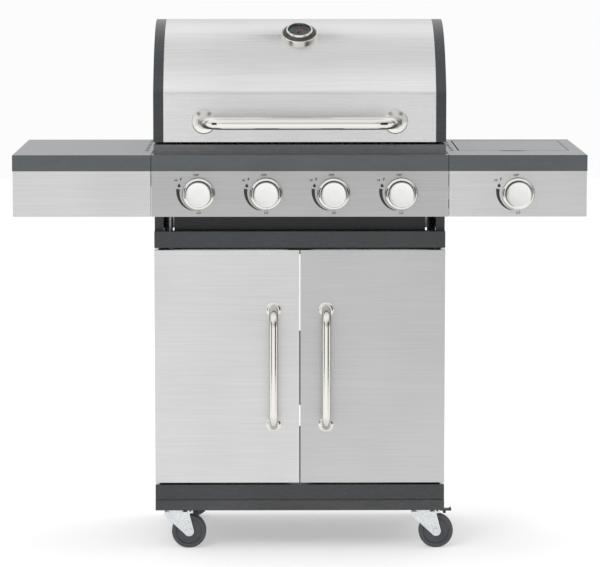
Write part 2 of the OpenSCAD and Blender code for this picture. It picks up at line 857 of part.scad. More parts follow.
// Solid wheel with a rounded tread, a sunk web on each face and a hub
module wheel() color("#45464b") {
    half = wheel_w / 2;
    rim = wheel_r - 10;
    translate([caster_trail, 0, wheel_r]) rotate([90, 0, 0]) rotate_extrude($fn = 64) polygon([
        [axle_r + run, -half - 0.8], [11, -half - 0.8], [12, -half + 2], [rim, -half + 3],
        [rim + 1, -half], [wheel_r - 3, -half], [wheel_r, 3 - half], [wheel_r, half - 3],
        [wheel_r - 3, half], [rim + 1, half], [rim, half - 3], [12, half - 2],
        [11, half + 0.8], [axle_r + run, half + 0.8]
    ]);
}

module front_left_wheel() at_caster(-caster_x, caster_front) wheel();

module front_right_wheel() at_caster(caster_x, caster_front) wheel();

module rear_left_wheel() at_caster(-caster_x, caster_rear) wheel();

module rear_right_wheel() at_caster(caster_x, caster_rear) wheel();

bottom_shelf();
bottom_rail();
top_rail();
side_panels();
rear_panel();
rear_rail();
heat_shield();
firebox();
main_burners();
flame_tamers();
cooking_grates();
warming_rack();
gas_manifold();
gas_valves();
control_panel();
panel_cap();
knob_bezels();
left_table_top();
right_table_top();
table_fascias();
table_brackets();
side_burner_bowl();
side_burner();
pan_support();
side_burner_lid();
door_magnets();
door_bushes();
grease_tray();
hood_shell();
hood_end_caps();
hood_handle();
hood_hinge_pins();
thermometer();
thermometer_glass();
thermometer_needle();
left_door();
right_door();
left_door_handle();
right_door_handle();
spindle_1();
spindle_2();
spindle_3();
spindle_4();
side_spindle();
knob_1();
knob_2();
knob_3();
knob_4();
side_knob();
caster_plates();
left_brake_pedal();
right_brake_pedal();
front_left_fork();
front_right_fork();
rear_left_fork();
rear_right_fork();
front_left_wheel();
front_right_wheel();
rear_left_wheel();
rear_right_wheel();
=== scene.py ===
# %% [markdown]
# # A gas barbecue grill, dressed over its working model
# The working model of the grill holds every size, hinge and hole. This lesson loads it
# as a fixed frame and gives it the finishes and the rounded edges that the eye expects.
# Everything is in metres, +Z is up, and the front with the knobs faces -Y.

# %% Load the frame
import json
import math
import bmesh
import bpy
from mathutils import Matrix, Vector

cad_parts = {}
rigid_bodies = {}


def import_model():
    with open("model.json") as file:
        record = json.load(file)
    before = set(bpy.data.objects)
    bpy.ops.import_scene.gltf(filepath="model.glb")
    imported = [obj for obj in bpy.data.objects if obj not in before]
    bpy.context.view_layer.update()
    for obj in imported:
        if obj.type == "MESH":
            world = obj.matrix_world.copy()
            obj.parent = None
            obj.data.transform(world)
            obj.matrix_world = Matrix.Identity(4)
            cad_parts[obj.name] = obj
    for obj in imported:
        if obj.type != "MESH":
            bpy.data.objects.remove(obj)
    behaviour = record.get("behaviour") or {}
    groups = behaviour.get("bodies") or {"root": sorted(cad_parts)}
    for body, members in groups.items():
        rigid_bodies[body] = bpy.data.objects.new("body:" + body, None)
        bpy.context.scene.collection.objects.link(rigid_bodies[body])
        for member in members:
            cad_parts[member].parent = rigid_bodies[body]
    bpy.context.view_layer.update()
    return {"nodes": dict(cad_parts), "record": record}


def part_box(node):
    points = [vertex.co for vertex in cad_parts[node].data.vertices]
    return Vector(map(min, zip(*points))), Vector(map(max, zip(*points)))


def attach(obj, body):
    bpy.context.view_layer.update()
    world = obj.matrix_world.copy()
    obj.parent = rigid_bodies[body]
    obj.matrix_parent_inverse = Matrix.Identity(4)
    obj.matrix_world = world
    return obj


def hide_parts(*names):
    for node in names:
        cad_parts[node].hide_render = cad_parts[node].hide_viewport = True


for leftover in list(bpy.data.objects):
    bpy.data.objects.remove(leftover)
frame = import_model()
nodes = frame["nodes"]
MM = 0.001

# %% [markdown]
# ## Camera
# The grill is seen square from the front, by a long lens from far away, so that near
# and far edges keep almost the same size. The camera stands a little left of the middle,
# higher than the hood, and looks slightly down. Part of that look is a lens shift, which
# keeps the upright edges of the cart nearly parallel.

# %% Camera
LONG_LENS = 178.8
FRAME_WIDE = 36.0
CAMERA_PLACE = Vector((-0.0494, -6.667, 1.399))
LOOK_DOWN = math.radians(5.96)
LOOK_RIGHT = math.radians(0.44)
FRAME_DROP = -0.1
camera_data = bpy.data.cameras.new("camera")
camera_data.lens = LONG_LENS
camera_data.sensor_width = FRAME_WIDE
camera_data.shift_y = FRAME_DROP
camera_data.clip_end = 100
camera = bpy.data.objects.new("camera", camera_data)
camera.location = CAMERA_PLACE
camera.rotation_euler = (math.pi / 2 - LOOK_DOWN, 0, -LOOK_RIGHT)
bpy.context.scene.collection.objects.link(camera)
bpy.context.scene.camera = camera
print("camera is", round(-CAMERA_PLACE.y, 2), "m in front of the middle")

# %% [markdown]
# ## Colour and node helpers
# Colours are written as sRGB hex, as a paint chart gives them, and one function turns
# them to the linear values that a shader works in. One small function adds a node.

# %% Helpers for materials
def linear(code):
    """The linear colour of an sRGB hex code."""
    parts = [int(code[i:i + 2], 16) / 255 for i in (1, 3, 5)]
    parts = [c / 12.92 if c <= 0.04045 else ((c + 0.055) / 1.055) ** 2.4 for c in parts]
    return (*parts, 1.0)


def add(tree, kind, inputs=None, **settings):
    """Adds a node. An input that is a socket is linked, any other is set."""
    made = tree.nodes.new(kind)
    for name, value in settings.items():
        setattr(made, name, value)
    for name, value in (inputs or {}).items():
        if isinstance(value, bpy.types.NodeSocket):
            tree.links.new(value, made.inputs[name])
        else:
            made.inputs[name].default_value = value
    return made


def new_material(name, color, **shader):
    """A material with one Principled shader, its colour and its fixed settings."""
    material = bpy.data.materials.new(name)
    material.use_nodes = True
    tree = material.node_tree
    body = tree.nodes["Principled BSDF"]
    body.inputs["Base Color"].default_value = linear(color)
    for label, value in shader.items():
        body.inputs[label.replace("_", " ").title()].default_value = value
    return material, tree, body


def noise(tree, size, detail=3.0, stretch=(1, 1, 1), rough=0.55):
    """Noise whose blobs are about size metres across, stretched along some axes."""
    place = add(tree, "ShaderNodeTexCoord")
    scale = tuple(1 / (size * s) for s in stretch)
    fitted = add(tree, "ShaderNodeMapping", {"Vector": place.outputs["Object"], "Scale": scale})
    made = add(tree, "ShaderNodeTexNoise", {"Vector": fitted.outputs["Vector"], "Scale": 1.0,
                                            "Detail": detail, "Roughness": rough})
    return made.outputs["Fac"]


def spread(tree, value, low, high, start=0.3, end=0.7):
    """Turns a noise value into one between low and high."""
    made = add(tree, "ShaderNodeMapRange", {"Value": value, "From Min": start, "From Max": end,
                                            "To Min": low, "To Max": high})
    return made.outputs["Result"]


def blend_colors(tree, factor, first, second):
    """Mixes two hex colours by a factor."""
    made = add(tree, "ShaderNodeMix", data_type="RGBA")
    tree.links.new(factor, made.inputs["Factor"])
    made.inputs["A"].default_value = linear(first)
    made.inputs["B"].default_value = linear(second)
    return made.outputs["Result"]


def raise_surface(tree, body, height, depth, strength=1.0):
    """Joins a height value to the shader as a bump that is depth metres deep."""
    bump = add(tree, "ShaderNodeBump", {"Height": height, "Distance": depth, "Strength": strength})
    tree.links.new(bump.outputs["Normal"], body.inputs["Normal"])


# %% [markdown]
# ## Brushed stainless steel
# The hood, doors and panels are thin stainless sheet, rubbed along their length with an
# abrasive belt. Scratches could be drawn into a picture, but a noise stretched a long way
# along X never repeats, and it fits a sheet of any size. A coarse one gives streaks of
# lighter and darker metal, and a finer one the scratches. Real scratches are 0.1 mm
# apart; here they are about 1 mm, so that they still show at this size.

# %% Brushed steel
BELT_STREAK = 0.0028
SCRATCH = 0.0011
SHEET_CLOUD = 0.35


def brushed_steel(name, dark, light, roughness):
    """Stainless sheet brushed along X."""
    material, tree, body = new_material(name, light, metallic=1.0)
    bands = noise(tree, BELT_STREAK, 4, (70, 1, 1), 0.7)
    scratches = noise(tree, SCRATCH, 2, (140, 1, 1))
    clouds = noise(tree, SHEET_CLOUD, 2)
    tone = add(tree, "ShaderNodeMath", {0: bands, 1: scratches}, operation="ADD").outputs[0]
    tone = add(tree, "ShaderNodeMath", {0: tone, 1: clouds}, operation="ADD").outputs[0]
    mixed = blend_colors(tree, spread(tree, tone, 0, 1, 1.0, 2.0), dark, light)
    tree.links.new(mixed, body.inputs["Base Color"])
    tree.links.new(spread(tree, scratches, roughness - 0.05, roughness + 0.07),
                   body.inputs["Roughness"])
    raise_surface(tree, body, scratches, 0.00006, 0.5)
    return material


# One steel, in four tones: the plain one, one with painted light and two with painted shade.
# The left door and the table fascias have the plain one, a silky mid grey.
STEEL_SHEET = brushed_steel("brushed_stainless_sheet", "#c6c6c6", "#dcdcdc", 0.33)
# Painted light: the hood is the brightest face, so its steel is painted lighter. It is a little
# smoother too.
LIT_HOOD_STEEL = brushed_steel("brushed_stainless_painted_light", "#d0d0d0", "#e8e8e8", 0.31)
# Painted shade: the right door and the control panel read darker than the faces beside them.
# The room alone doesn't give that, so their steel is painted darker.
SHADED_DOOR_STEEL = brushed_steel("brushed_stainless_door_painted_shade", "#b6b6b6", "#cacaca", 0.34)
SHADED_PANEL_STEEL = brushed_steel("brushed_stainless_panel_painted_shade", "#adadad", "#c2c2c2", 0.34)
print("streaks", BELT_STREAK / MM, "mm and scratches", SCRATCH / MM, "mm wide")

# %% [markdown]
# ## Powder coat
# The tables, rails and cart are steel sheet with a baked powder coat. It is a plastic
# skin, so it keeps a plain dielectric shine, and it never lies quite flat: soft bumps
# about a millimetre across, the orange peel, break the reflections up. They could be
# modelled, but a bump in the shading does it without a single extra face. A slow change
# in tone and faint rub marks stop the large tops looking like flat colour.

# %% Powder coat
ORANGE_PEEL = 0.0014
RUB_MARK = 0.006


def powder_coat(name, color, rubbed, roughness):
    """Baked powder on steel, with orange peel and faint rubbing."""
    material, tree, body = new_material(name, color)
    peel_height = noise(tree, ORANGE_PEEL, 2)
    clouds = noise(tree, 0.12, 4)
    rubs = noise(tree, RUB_MARK, 3, (3, 1, 1))
    wear = add(tree, "ShaderNodeMath", {0: clouds, 1: rubs}, operation="MULTIPLY").outputs[0]
    mixed = blend_colors(tree, spread(tree, wear, 0, 1, 0.18, 0.42), color, rubbed)
    tree.links.new(mixed, body.inputs["Base Color"])
    tree.links.new(spread(tree, rubs, roughness - 0.01, roughness + 0.03), body.inputs["Roughness"])
    raise_surface(tree, body, peel_height, 0.00008, 0.1)
    return material


# The table tops and the cap of the panel: blue-grey, and with the softest shine of the four.
SLATE_COAT = powder_coat("slate_powder_coat", "#4b5053", "#505558", 0.22)
# The cart's frame and the ends of the hood: nearly black, with a soft shine.
CART_COAT = powder_coat("charcoal_powder_coat", "#2c2f32", "#32363a", 0.26)
# The bottom shelf: a plain iron grey, rubbed dull where things are slid over it.
SHELF_COAT = powder_coat("iron_grey_powder_coat", "#363738", "#424344", 0.38)
# Sheets near the fire and at the back: heat-proof paint, matt and near black. Its black is
# painted shade as well: it makes the recess under the panel and the seam between the doors look deep
# and dark.
HEAT_PAINT_AND_SHADE = powder_coat("black_heat_paint_and_painted_shade", "#191a1a", "#242424", 0.42)
print("orange peel", ORANGE_PEEL / MM, "mm across")

# %% [markdown]
# The firebox is one pressing in black heat-proof paint. The front face of its rim catches the
# light, and that light is painted in: above a set height the paint turns a pale mid grey, a
# painted highlight. The rim could be a piece of its own, but one material that changes with
# height follows it with no seam.

# %% Firebox paint
FIREBOX_PAINT, fire_tree, fire_body = new_material("firebox_heat_paint", "#1b1b1c")
fire_place = add(fire_tree, "ShaderNodeTexCoord")
fire_height = add(fire_tree, "ShaderNodeSeparateXYZ", {"Vector": fire_place.outputs["Object"]})
RIM_HEIGHT = 0.8695
RIM_BLEND = 0.0008
rim_part = spread(fire_tree, fire_height.outputs["Z"], 0, 1, RIM_HEIGHT, RIM_HEIGHT + RIM_BLEND)
rim_highlight_streaks = spread(fire_tree, noise(fire_tree, 0.006, 4, (3, 1, 1)), 0.8, 1.0)
rim_highlight = add(fire_tree, "ShaderNodeMath", {0: rim_part, 1: rim_highlight_streaks}, operation="MULTIPLY").outputs[0]
# Painted highlight: the pale grey at the top stands for the light that the rim's front face catches.
fire_tree.links.new(blend_colors(fire_tree, rim_highlight, "#1b1b1c", "#66686a"),
                    fire_body.inputs["Base Color"])
fire_tree.links.new(spread(fire_tree, noise(fire_tree, 0.004, 3), 0.36, 0.46),
                    fire_body.inputs["Roughness"])
raise_surface(fire_tree, fire_body, noise(fire_tree, ORANGE_PEEL, 2), 0.0001, 0.2)
print("the rim is pale above", RIM_HEIGHT, "m")

# %% [markdown]
# ## Polished, plated and cast metals
# The handles, bezels and thermometer are polished steel, the casters are plated, and the
# grates are cast iron. Three functions cover them all: a mirror with faint marks, a
# plating with crystals of two tones, and a cast or moulded skin with grit. Only the
# colour, the roughness and the size of the grain change from one metal to the next.

# %% Polished and plated metals
def polished(name, color, roughness, mark):
    """Mirror-like metal with very faint polishing marks."""
    material, tree, body = new_material(name, color, metallic=1.0)
    marks = noise(tree, mark, 3)
    tree.links.new(spread(tree, marks, roughness, roughness + 0.06), body.inputs["Roughness"])
    raise_surface(tree, body, noise(tree, mark * 4, 2), 0.00004, 0.15)
    return material


def plated(name, dull, bright, grain, roughness):
    """Plated or hot-dipped metal, with a pattern of crystals of two tones."""
    material, tree, body = new_material(name, bright, metallic=1.0)
    place = add(tree, "ShaderNodeTexCoord")
    crystals = add(tree, "ShaderNodeTexVoronoi", {"Vector": place.outputs["Object"],
                                                  "Scale": 1 / grain})
    tone = add(tree, "ShaderNodeSeparateColor", {"Color": crystals.outputs["Color"]})
    mixed = blend_colors(tree, tone.outputs[0], dull, bright)
    tree.links.new(mixed, body.inputs["Base Color"])
    tree.links.new(spread(tree, tone.outputs[1], roughness - 0.06, roughness + 0.1, 0, 1),
                   body.inputs["Roughness"])
    return material


def rough_cast(name, color, light, roughness, grit, depth):
    """A sand-cast or moulded surface: grit in the height and in the tone."""
    material, tree, body = new_material(name, color)
    grains = noise(tree, grit, 4)
    mixed = blend_colors(tree, spread(tree, noise(tree, grit * 30, 3), 0, 1), color, light)
    tree.links.new(mixed, body.inputs["Base Color"])
    tree.links.new(spread(tree, grains, roughness - 0.08, roughness + 0.08), body.inputs["Roughness"])
    raise_surface(tree, body, grains, depth, 0.6)
    return material


# Handles, bezels and the thermometer: almost a mirror, a little warm.
MIRROR_STEEL = polished("polished_stainless_tube", "#e0ded8", 0.06, 0.004)
# Knob faces: satin, so each shows one soft glow and not the room.
KNOB_FACE = polished("satin_nickel", "#f0f0ef", 0.28, 0.0008)
# Knob grips and the thermometer's collar: a smoky mirror that reads as a dark ring. On the
# knob grips the dark is painted shade: it stands for the shadowed gap inside each bezel.
DARK_BEZEL = polished("smoky_mirror_and_painted_shade", "#55544f", 0.12, 0.002)
# Caster forks and plates: bluish bright zinc, with a cloudy pattern of crystals.
ZINC = plated("bright_zinc_plate", "#cfd3d5", "#e0e3e5", 0.003, 0.26)
# Grease tray: the large dull crystals, called spangle, of hot-dipped sheet.
GALVANISED = plated("hot_dip_galvanising", "#83888b", "#a7abad", 0.018, 0.36)
# Gas rail: the even pale grey of a dipped pipe.
PIPE = plated("aluminised_pipe", "#8b8c8c", "#a09f9c", 0.01, 0.4)
# Burners, flame tamers and rack: steel that heat has turned to straw.
BURNER_STEEL = polished("burner_stainless", "#a39d90", 0.3, 0.003)
# Valves and spindles: yellow metal with fine marks of the lathe.
BRASS = polished("machined_brass", "#b8924d", 0.25, 0.002)
# Grates and trivet: black, with grit as coarse as the sand they were cast in.
CAST_IRON = rough_cast("enamelled_cast_iron", "#1b1c1d", "#262728", 0.5, 0.0016, 0.0004)
# Wheels, pedals and door bushes: moulded plastics with a soft, low shine.
WHEEL_PLASTIC = rough_cast("wheel_polypropylene", "#3c3d42", "#47484d", 0.45, 0.0012, 0.0001)
PEDAL_PLASTIC = rough_cast("pedal_nylon_black", "#161718", "#1f2021", 0.42, 0.001, 0.0001)
BUSH_NYLON = rough_cast("bush_nylon_white", "#f4f4f0", "#e9e9e3", 0.4, 0.001, 0.00005)
# Inks and enamels: thin and flat, so they read by colour alone.
PANEL_INK = rough_cast("printed_black_ink", "#222324", "#2c2d2e", 0.5, 0.0006, 0.00002)
NEEDLE_RED = rough_cast("needle_red_enamel", "#b01c18", "#c42a22", 0.35, 0.0008, 0.00002)
DIAL_FACE = rough_cast("dial_black_enamel", "#14171b", "#1c2025", 0.4, 0.0008, 0.00001)
DIAL_INK = rough_cast("dial_white_ink", "#e9ebec", "#f4f5f5", 0.5, 0.0008, 0.00001)
# The dial's window: clear, with finger marks that blur a highlight here and there.
GLASS, glass_tree, glass_body = new_material("dial_glass_clear", "#f4f8f9", roughness=0.03)
GLASS_IOR = 1.5
glass_body.inputs["IOR"].default_value = GLASS_IOR
glass_body.inputs["Transmission Weight"].default_value = 1.0
smears = noise(glass_tree, 0.012, 3)
glass_tree.links.new(spread(glass_tree, smears, 0.02, 0.06), glass_body.inputs["Roughness"])
print("materials:", len(bpy.data.materials))

# %% [markdown]
# ## Studio
# Bare steel has no colour of its own: it shows the room. So the room is painted as a
# world: white above, pale grey behind, bright at the front left and darker towards the
# front right. Two narrow dark strips at the sides and a low band in front draw dark lines
# along the polished tubes. A picture of a room would do too, but ramps of brightness are
# easier to tune. The camera itself gets one plain pale colour, so the wall looks empty.

# %% Studio walls
world = bpy.data.worlds.new("studio")
bpy.context.scene.world = world
world.use_nodes = True
room = world.node_tree
toward = add(room, "ShaderNodeTexCoord")
axes = add(room, "ShaderNodeSeparateXYZ", {"Vector": toward.outputs["Generated"]})


def wall_ramp(value, start, end, low, high):
    """A brightness that goes smoothly from low to high as value goes from start to end."""
    made = add(room, "ShaderNodeMapRange", {"Value": value, "From Min": start, "From Max": end,
                                            "To Min": low, "To Max": high},
               interpolation_type="SMOOTHSTEP")
    return made.outputs["Result"]


def combine(kind, first, second):
    """One sum, difference, product or other step of arithmetic on the room's values."""
    return add(room, "ShaderNodeMath", {0: first, 1: second}, operation=kind).outputs[0]


print("the room is a world of", len(room.nodes), "nodes so far")

# %% [markdown]
# The room is built up from the front wall to the back one, then the dark strips are
# multiplied in, and the ceiling is laid over the top of all of them.

# %% Brightness of the room
BACK_WALL = 0.82
BAND_HEIGHT = 0.16
front_wall = wall_ramp(axes.outputs["X"], -0.8, 0.8, 1.15, 0.62)
front_to_back = wall_ramp(axes.outputs["Y"], -0.25, 0.3, 0.0, 1.0)
side_strip = wall_ramp(combine("ABSOLUTE", axes.outputs["Y"], 0.0), 0.03, 0.11, 0.12, 1.0)
ceiling = wall_ramp(axes.outputs["Z"], 0.25, 0.75, 0.0, 1.0)
off_band = combine("ABSOLUTE", combine("SUBTRACT", axes.outputs["Z"], BAND_HEIGHT), 0.0)
low_band = wall_ramp(off_band, 0.012, 0.04, 0.3, 1.0)
overhead = wall_ramp(axes.outputs["Z"], 0.8, 1.0, 1.15, 0.85)
wall = combine("ADD", combine("MULTIPLY", front_wall, combine("SUBTRACT", 1.0, front_to_back)),
               combine("MULTIPLY", front_to_back, BACK_WALL))
wall = combine("MULTIPLY", wall, side_strip)
behind = wall_ramp(axes.outputs["Y"], -0.3, 0.0, 0.0, 1.0)
wall = combine("MULTIPLY", wall, combine("MAXIMUM", low_band, behind))
wall = combine("ADD", combine("MULTIPLY", wall, combine("SUBTRACT", 1.0, ceiling)),
               combine("MULTIPLY", ceiling, overhead))
seen = add(room, "ShaderNodeLightPath")
backdrop = add(room, "ShaderNodeBackground", {"Color": linear("#fcfcfc")})
glow = add(room, "ShaderNodeBackground", {"Color": linear("#fbfbfb"), "Strength": wall})
chosen = add(room, "ShaderNodeMixShader", {0: seen.outputs["Is Camera Ray"]})
room.links.new(glow.outputs[0], chosen.inputs[1])
room.links.new(backdrop.outputs[0], chosen.inputs[2])
room.links.new(chosen.outputs[0], room.nodes["World Output"].inputs["Surface"])
bpy.context.scene.view_settings.view_transform = "Standard"
print("the room is a world of", len(room.nodes), "nodes")

# %% [markdown]
# ## Floor
# The grill stands on a light table of white acrylic. It could be a plain white floor, but
# one that glows a little keeps the shadows under the cart soft and pale.

# %% Floor
FLOOR_HALF = 9.0
FLOOR_GLOW = 0.4


def flat_board(name, corners, material):
    """A flat board of four corners, in one material."""
    mesh = bpy.data.meshes.new(name)
    mesh.from_pydata(corners, [], [(0, 1, 2, 3)])
    mesh.materials.append(material)
    board = bpy.data.objects.new(name, mesh)
    bpy.context.scene.collection.objects.link(board)
    return board


def square(half):
    """The corners of a level square."""
    return [(-half, -half, 0), (half, -half, 0), (half, half, 0), (-half, half, 0)]


acrylic, acrylic_tree, acrylic_body = new_material("white_acrylic_table", "#cdcdcd", roughness=0.9)
acrylic_body.inputs["Emission Color"].default_value = linear("#ffffff")
acrylic_body.inputs["Emission Strength"].default_value = FLOOR_GLOW
raise_surface(acrylic_tree, acrylic_body, noise(acrylic_tree, 0.01, 3), 0.0002, 0.2)
floor = flat_board("floor", square(FLOOR_HALF), acrylic)
print("floor is", 2 * FLOOR_HALF, "m wide")

# %% [markdown]
# ## Lamps
# Two large soft lamps stand at the upper left and overhead. They shape the dull surfaces
# only: the metal mirrors the room, and a lamp in it would be a hard white square.

# %% Lamps
GRILL_MIDDLE = Vector((0, 0, 0.6))


def softbox(name, place, size, power):
    """A square lamp that faces the middle of the grill."""
    lamp_data = bpy.data.lights.new(name, "AREA")
    lamp_data.size = size
    lamp_data.energy = power
    lamp = bpy.data.objects.new(name, lamp_data)
    lamp.location = place
    lamp.visible_glossy = False
    lamp.rotation_euler = (GRILL_MIDDLE - lamp.location).to_track_quat("-Z", "Y").to_euler()
    bpy.context.scene.collection.objects.link(lamp)


softbox("key_softbox", Vector((-1.6, -3.2, 3.0)), 1.6, 45)
softbox("top_softbox", Vector((0.2, 0.6, 3.6)), 2.0, 40)

# %% [markdown]
# ## Black cards
# A tube of polished metal in a white room looks like paper. Black boards to the left and
# right of the camera draw the dark streaks that make it read as metal. A small black flag
# stands over the hood, where the dial's glass would mirror the white ceiling, in the way
# that watches are lit. Only reflections see any of them.

# %% Black cards
CARD_AWAY = 2.6
CARD_HEIGHT = 1.5
CARD_LIFT = 0.002
FLAG_HALF = 0.085
FLAG_AWAY = 0.8


def only_reflected(board):
    """Hides a board from the camera and stops it from casting a shadow."""
    board.visible_camera = False
    board.visible_shadow = False


def black_card(name, around, width):
    """An upright board on a circle round the grill, facing its middle."""
    half = width / 2
    card = flat_board(name, [(-half, 0, 0), (half, 0, 0), (half, 0, CARD_HEIGHT),
                             (-half, 0, CARD_HEIGHT)], card_felt)
    card.location = (CARD_AWAY * math.sin(around), -CARD_AWAY * math.cos(around), CARD_LIFT)
    card.rotation_euler = (0, 0, around)
    only_reflected(card)


card_felt, felt_tree, felt_body = new_material("black_felt_board", "#242424", roughness=0.95)
raise_surface(felt_tree, felt_body, noise(felt_tree, 0.003, 2), 0.0003, 0.4)
black_card("left_card", math.radians(-48), 0.9)
black_card("right_card", math.radians(43), 1.3)
needle_joint = next(j for j in frame["record"]["behaviour"]["joints"]
                    if j["name"] == "thermometer_needle_turn")
gauge_place = Vector(needle_joint["pos_m"])
gauge_axis = -Vector(needle_joint["axis"])
mirrored = (gauge_place - CAMERA_PLACE).normalized().reflect(gauge_axis)
flag = flat_board("dial_flag", square(FLAG_HALF), card_felt)
flag.location = gauge_place + mirrored * FLAG_AWAY
flag.rotation_euler = mirrored.to_track_quat("Z", "Y").to_euler()
only_reflected(flag)
print("flag is", round(flag.location.z, 2), "m above the floor")

# %% [markdown]
# ## Dressing the working model
# Most sheet-metal pieces keep their shape from the working model. Pressed sheet never
# has a knife edge, so each gets a small rounded edge. Modifiers do it, as they leave the
# mesh itself alone. The model's mesh is split along its hard edges, so a weld joins it
# first, and then a bevel works on edges that really turn. Pieces with many holes, and
# round ones that are smooth already, are left as they are.

# %% Finish for every node
REAL_CORNER = math.radians(38)
WELD_REACH = 0.00001
EDGE_STEPS = 2
BY_AREA_ONLY = 100


def finish_node(name, material, edge):
    """Gives a node its material and, where edge isn't 0, rounded edges that wide."""
    piece = nodes[name]
    for place in range(len(piece.data.materials)):
        piece.material_slots[place].material = material
    if not piece.data.materials:
        piece.data.materials.append(material)
    if edge:
        weld = piece.modifiers.new("join", "WELD")
        weld.merge_threshold = WELD_REACH
        bevel = piece.modifiers.new("rounded_edges", "BEVEL")
        bevel.width = edge
        bevel.segments = EDGE_STEPS
        bevel.limit_method = "ANGLE"
        bevel.angle_limit = REAL_CORNER
        bevel.use_clamp_overlap = True
        shading = piece.modifiers.new("even_shading", "WEIGHTED_NORMAL")
        shading.weight = BY_AREA_ONLY


FINISHES = [
    (SLATE_COAT, 0.0012, ["left_table_top", "right_table_top", "side_burner_lid", "panel_cap"]),
    (CART_COAT, 0.0012, ["hood_end_caps", "top_rail", "bottom_rail",
                         "side_panels", "table_brackets", "rear_rail"]),
    (SHELF_COAT, 0.001, ["bottom_shelf"]),
    (FIREBOX_PAINT, 0.0008, ["firebox"]),
    # The rear panel is black so that the seam between the doors looks dark: painted shade.
    (HEAT_PAINT_AND_SHADE, 0.0008, ["heat_shield", "side_burner_bowl", "rear_panel"]),
    # The hood's steel has painted light; the right door's and the control panel's steel has painted
    # shade.
    (LIT_HOOD_STEEL, 0.0010, ["hood_shell"]),
    (STEEL_SHEET, 0.0010, ["left_door"]),
    (SHADED_DOOR_STEEL, 0.0010, ["right_door"]),
    (SHADED_PANEL_STEEL, 0.0, ["control_panel"]),
    (STEEL_SHEET, 0.0, ["table_fascias"]),
    (BURNER_STEEL, 0.0, ["main_burners", "flame_tamers", "warming_rack"]),
    (CAST_IRON, 0.0012, ["cooking_grates", "pan_support", "side_burner"]),
    (MIRROR_STEEL, 0.0, ["hood_handle", "left_door_handle", "right_door_handle", "thermometer",
                         "hood_hinge_pins"]),
    (KNOB_FACE, 0.0, ["knob_1", "knob_2", "knob_3", "knob_4", "side_knob"]),
    (DARK_BEZEL, 0.0, ["knob_bezels"]),
    (ZINC, 0.0005, ["front_left_fork", "front_right_fork", "rear_left_fork", "rear_right_fork",
                    "caster_plates"]),
    (WHEEL_PLASTIC, 0.0, ["front_left_wheel", "front_right_wheel", "rear_left_wheel",
                          "rear_right_wheel"]),
    (PEDAL_PLASTIC, 0.0006, ["left_brake_pedal", "right_brake_pedal", "door_magnets"]),
    (BUSH_NYLON, 0.0, ["door_bushes"]),
    (GALVANISED, 0.0006, ["grease_tray"]),
    (PIPE, 0.0005, ["gas_manifold"]),
    (BRASS, 0.0, ["gas_valves", "spindle_1", "spindle_2", "spindle_3", "spindle_4", "side_spindle"]),
    (GLASS, 0.0, ["thermometer_glass"]),
    (NEEDLE_RED, 0.0, ["thermometer_needle"]),
]
for material, edge, names in FINISHES:
    for name in names:
        finish_node(name, material, edge)
print("dressed:", sum(len(names) for _, _, names in FINISHES), "of", len(nodes), "nodes")

# %% [markdown]
# ## Making new pieces
# Round things, such as bezels, knobs and the thermometer, are turned: an outline is
# drawn once and swept round an axis, as on a lathe. A screw modifier would do the same,
# but a loop gives meshes that are final at once. Every new mesh goes through one function
# that makes the object, gives it its finish and lets it ride on its body.

# %% Helpers for pieces
def piece_from(name, mesh_maker, material, body, stands_for=(), smooth=True):
    """Makes an object from a bmesh, dresses it and lets it ride on a body."""
    data = bpy.data.meshes.new(name)
    mesh_maker.to_mesh(data)
    mesh_maker.free()
    for face in data.polygons:
        face.use_smooth = smooth
    made = bpy.data.objects.new(name, data)
    bpy.context.scene.collection.objects.link(made)
    data.materials.append(material)
    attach(made, body)
    if stands_for:
        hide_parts(*stands_for)
    return made


def turn(maker, outline, place, axis, steps=96):
    """Sweeps an outline of (radius, height) round an axis that starts at place."""
    swing = Vector((0, 0, 1)).rotation_difference(Vector(axis)).to_matrix().to_4x4()
    frame_here = Matrix.Translation(Vector(place)) @ swing
    rings = []
    for radius, height in outline:
        if radius < 1e-7:
            rings.append([maker.verts.new(frame_here @ Vector((0, 0, height)))] * steps)
            continue
        ring = []
        for i in range(steps):
            around = 2 * math.pi * i / steps
            ring.append(maker.verts.new(frame_here @ Vector((radius * math.cos(around),
                                                             radius * math.sin(around), height))))
        rings.append(ring)
    for low, high in zip(rings, rings[1:]):
        for i in range(steps):
            j = (i + 1) % steps
            corners = [low[i], low[j], high[j], high[i]]
            maker.faces.new(list(dict.fromkeys(corners)))


def round_corners(outline, radius, steps=4):
    """Rounds the corners of an open outline by a small radius."""
    points = [Vector(p) for p in outline]
    result = [points[0]]
    for before, corner, after in zip(points, points[1:], points[2:]):
        back, on = before - corner, after - corner
        reach = min(radius, back.length * 0.45, on.length * 0.45)
        start, end = corner + back.normalized() * reach, corner + on.normalized() * reach
        for i in range(steps + 1):
            t = i / steps
            result.append(start * (1 - t) ** 2 + corner * 2 * t * (1 - t) + end * t ** 2)
    result.append(points[-1])
    return [tuple(p) for p in result]


print("pieces to turn: bezels, knobs, thermometer")

# %% [markdown]
# The knobs' places aren't written here a second time: they are measured on the working
# model, so that bezels, knobs and printed marks stay together if the model changes.

# %% Where the knobs are
FRONTWARD = (0, -1, 0)
panel_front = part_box("control_panel")[0][1]
knob_names = ["knob_1", "knob_2", "knob_3", "knob_4", "side_knob"]
knob_centres = []
for name in knob_names:
    low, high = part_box(name)
    knob_centres.append(((low[0] + high[0]) / 2, (low[2] + high[2]) / 2))
print("knob centres in mm:", [(round(x / MM, 1), round(z / MM, 1)) for x, z in knob_centres])

# %% [markdown]
# ## Bezels
# Round each knob lies a pressed ring of polished steel. It is convex, so it shows a
# bright band and a dark one side by side. All five rings are one mesh, since none moves.

